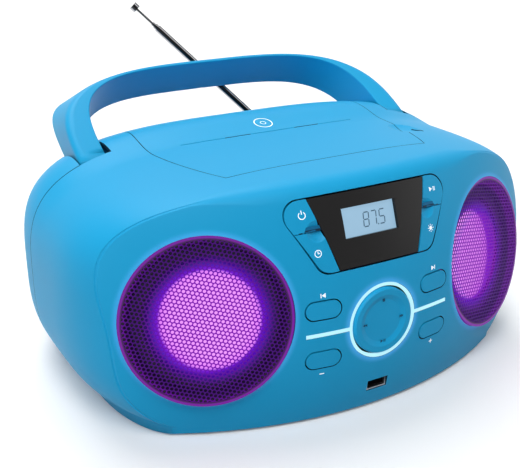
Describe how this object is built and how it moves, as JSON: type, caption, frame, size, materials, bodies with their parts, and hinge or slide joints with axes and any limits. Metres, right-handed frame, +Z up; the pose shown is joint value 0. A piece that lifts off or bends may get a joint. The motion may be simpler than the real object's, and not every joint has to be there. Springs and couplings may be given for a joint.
{
  "type": "portable cd player",
  "caption": "Rounded portable CD and radio player with lit speakers, a lifting disc lid, a swinging carry handle, press buttons round a light ring, and a telescopic aerial",
  "frame": {"origin": "on the floor under the middle of the cabinet; the cabinet floor is 2 mm higher, on its feet", "axes": "X to the right seen from the front, Y towards the back, Z up"},
  "size_m": [0.313, 0.2617, 0.2042],
  "materials": {
    "blue_plastic": "satin moulded",
    "black_plastic": "matt moulded",
    "window_black": "polished",
    "lcd_glass": "polished",
    "light_white": "frosted, lit",
    "light_violet": "frosted, lit",
    "grille_metal": "satin paint",
    "cone_paper": "pressed paper",
    "magnet_grey": "plain",
    "board_green": "lacquered",
    "steel": "plain",
    "chassis_grey": "matt moulded",
    "chrome": "polished",
    "foot_rubber": "moulded"
  },
  "bodies": {
    "cabinet": {"front_cabinet": "blue_plastic", "rear_cabinet": "blue_plastic", "cd_well": "blue_plastic", "battery_box": "blue_plastic", "mains_inlet": "black_plastic", "aerial_socket": "black_plastic", "left_speaker_frame": "black_plastic", "right_speaker_frame": "black_plastic", "display_window": "window_black", "lcd_module": "lcd_glass", "ring_light_guide": "light_white", "left_light_ring": "light_violet", "right_light_ring": "light_violet", "left_grille": "grille_metal", "right_grille": "grille_metal", "left_cone": "cone_paper", "right_cone": "cone_paper", "left_magnet": "magnet_grey", "right_magnet": "magnet_grey", "display_board": "board_green", "key_board": "board_green", "main_board": "board_green", "lid_hinge_pins": "steel", "handle_pivots": "steel", "usb_socket": "steel", "transformer": "steel", "battery_contacts": "steel", "spindle_motor": "steel", "guide_rods": "steel", "cabinet_screws": "steel", "cd_chassis": "chassis_grey", "feet": "foot_rubber"},
    "lid": {"lid": "blue_plastic"},
    "handle": {"handle": "blue_plastic"},
    "nav_pad": {"nav_pad": "blue_plastic"},
    "power_button": {"power_button": "blue_plastic"},
    "clock_button": {"clock_button": "blue_plastic"},
    "source_button": {"source_button": "blue_plastic"},
    "light_button": {"light_button": "blue_plastic"},
    "preset_down_button": {"preset_down_button": "blue_plastic"},
    "preset_up_button": {"preset_up_button": "blue_plastic"},
    "volume_down_button": {"volume_down_button": "blue_plastic"},
    "volume_up_button": {"volume_up_button": "blue_plastic"},
    "turntable": {"turntable": "black_plastic"},
    "pickup": {"pickup": "black_plastic"},
    "battery_door": {"battery_door": "blue_plastic"},
    "aerial_knuckle": {"aerial_knuckle": "chrome"},
    "aerial_tube_1": {"aerial_tube_1": "chrome"},
    "aerial_tube_2": {"aerial_tube_2": "chrome"},
    "aerial_tube_3": {"aerial_tube_3": "chrome"},
    "aerial_tip": {"aerial_tip": "chrome"}
  },
  "joints": [
    {"name": "lid_hinge", "type": "hinge", "parent": "cabinet", "child": "lid", "pos_m": [0, 0.078, 0.1295], "axis": [-1, 0, 0], "range_deg": [0, 37]},
    {"name": "handle_pivot", "type": "hinge", "parent": "cabinet", "child": "handle", "pos_m": [0, 0.05365, 0.11981], "axis": [1, 0, 0], "range_deg": [0, 60]},
    {"name": "nav_press", "type": "slide", "parent": "cabinet", "child": "nav_pad", "axis": [0, 0.999, -0.0444], "range_m": [0, 0.001], "stiffness_N_per_m": 400},
    {"name": "power_press", "type": "slide", "parent": "cabinet", "child": "power_button", "axis": [0, 0.9388, -0.3444], "range_m": [0, 0.001], "stiffness_N_per_m": 300},
    {"name": "clock_press", "type": "slide", "parent": "cabinet", "child": "clock_button", "axis": [0, 0.9388, -0.3444], "range_m": [0, 0.001], "stiffness_N_per_m": 300},
    {"name": "source_press", "type": "slide", "parent": "cabinet", "child": "source_button", "axis": [0, 0.9388, -0.3444], "range_m": [0, 0.001], "stiffness_N_per_m": 300},
    {"name": "light_press", "type": "slide", "parent": "cabinet", "child": "light_button", "axis": [0, 0.9388, -0.3444], "range_m": [0, 0.001], "stiffness_N_per_m": 300},
    {"name": "preset_down_press", "type": "slide", "parent": "cabinet", "child": "preset_down_button", "axis": [0.1505, 0.981, -0.1222], "range_m": [0, 0.001], "stiffness_N_per_m": 300},
    {"name": "preset_up_press", "type": "slide", "parent": "cabinet", "child": "preset_up_button", "axis": [-0.1505, 0.981, -0.1222], "range_m": [0, 0.001], "stiffness_N_per_m": 300},
    {"name": "volume_down_press", "type": "slide", "parent": "cabinet", "child": "volume_down_button", "axis": [0.1508, 0.9877, 0.0406], "range_m": [0, 0.001], "stiffness_N_per_m": 300},
    {"name": "volume_up_press", "type": "slide", "parent": "cabinet", "child": "volume_up_button", "axis": [-0.1508, 0.9877, 0.0406], "range_m": [0, 0.001], "stiffness_N_per_m": 300},
    {"name": "disc_spin", "type": "hinge", "parent": "cabinet", "child": "turntable", "pos_m": [0, 0.014, 0.122], "axis": [0, 0, 1], "continuous": true},
    {"name": "pickup_slide", "type": "slide", "parent": "cabinet", "child": "pickup", "axis": [0, -1, 0], "range_m": [0, 0.024]},
    {"name": "battery_door_hinge", "type": "hinge", "parent": "cabinet", "child": "battery_door", "pos_m": [-0.042, 0.10438, 0.0166], "axis": [-1, 0, 0], "range_deg": [0, 70]},
    {"name": "aerial_swivel", "type": "hinge", "parent": "cabinet", "child": "aerial_knuckle", "pos_m": [0.0539, 0.1118, 0.107], "axis": [0, -1, 0], "range_deg": [0, 44]},
    {"name": "aerial_tilt", "type": "hinge", "parent": "aerial_knuckle", "child": "aerial_tube_1", "pos_m": [0.0539, 0.1118, 0.107], "axis": [-0.7278, 0, -0.6858], "range_deg": [0, 60]},
    {"name": "aerial_slide_1", "type": "slide", "parent": "aerial_tube_1", "child": "aerial_tube_2", "axis": [-0.6523, 0.309, 0.6922], "range_m": [0, 0.085]},
    {"name": "aerial_slide_2", "type": "slide", "parent": "aerial_tube_2", "child": "aerial_tube_3", "axis": [-0.6523, 0.309, 0.6922], "range_m": [0, 0.084]},
    {"name": "aerial_slide_3", "type": "slide", "parent": "aerial_tube_3", "child": "aerial_tip", "axis": [-0.6523, 0.309, 0.6922], "range_m": [0, 0.083]}
  ]
}
